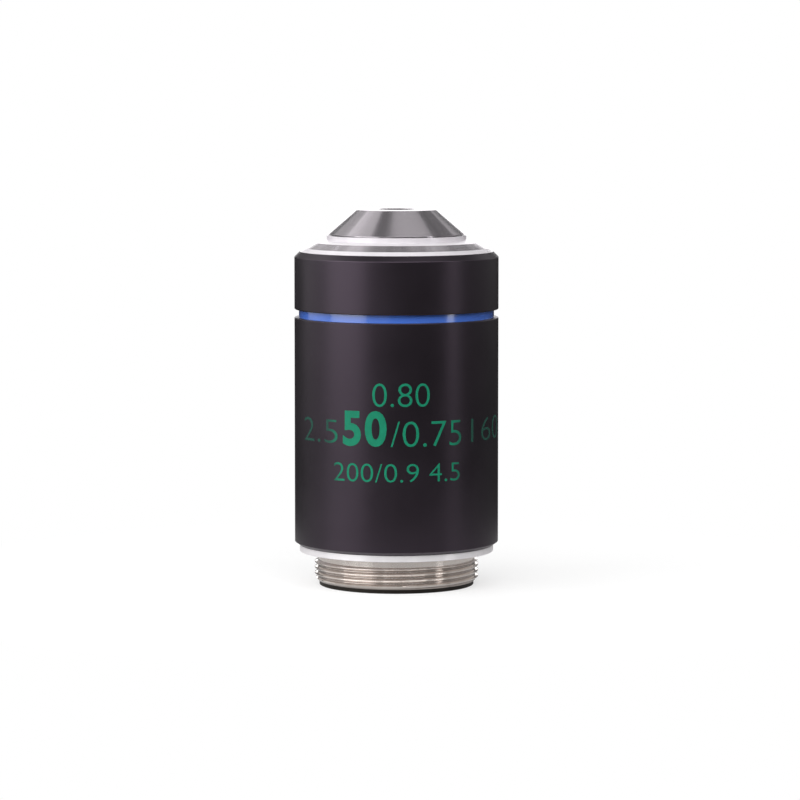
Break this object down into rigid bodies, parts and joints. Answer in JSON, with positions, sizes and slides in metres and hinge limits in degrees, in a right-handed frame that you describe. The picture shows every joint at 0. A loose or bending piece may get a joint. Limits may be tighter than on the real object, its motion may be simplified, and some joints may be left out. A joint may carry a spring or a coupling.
{
  "type": "microscope objective",
  "caption": "Microscope objective with a stepped nickel nose, black sleeves, a blue ring and a standard mounting thread; inside, cemented lens groups in turned cells.",
  "frame": {"origin": "on the optical axis, in the plane of the mounting shoulder", "axes": "+Z along the optical axis from the mounting thread to the front lens, +X and +Y square to it, with the marking centred towards -Y"},
  "size_m": [0.0252, 0.0252, 0.0465],
  "materials": {
    "nickel_plate": "satin",
    "black_anodised": "satin",
    "blue_anodised": "satin",
    "black_brass": "matte",
    "plain_brass": "satin",
    "screw_steel": "satin",
    "optical_glass": "polished"
  },
  "bodies": {
    "root": {"mount_barrel": "nickel_plate", "front_cap": "nickel_plate", "nose_cone": "nickel_plate", "main_sleeve": "black_anodised", "front_collar": "black_anodised", "rear_ring": "black_anodised", "aperture_stop": "black_anodised", "colour_ring": "blue_anodised", "lens_tube": "black_brass", "meniscus_cell": "black_brass", "doublet_cell": "black_brass", "triplet_cell": "black_brass", "rear_cell": "black_brass", "short_spacer": "black_brass", "long_spacer": "black_brass", "nose_lock_ring": "black_brass", "stack_lock_ring": "black_brass", "tube_lock_ring": "black_brass", "height_shim": "plain_brass", "centring_screws": "screw_steel", "front_lens": "optical_glass", "meniscus_lens": "optical_glass", "doublet_crown": "optical_glass", "doublet_flint": "optical_glass", "triplet_front": "optical_glass", "triplet_middle": "optical_glass", "triplet_rear": "optical_glass", "rear_crown": "optical_glass", "rear_flint": "optical_glass"}
  },
  "joints": []
}
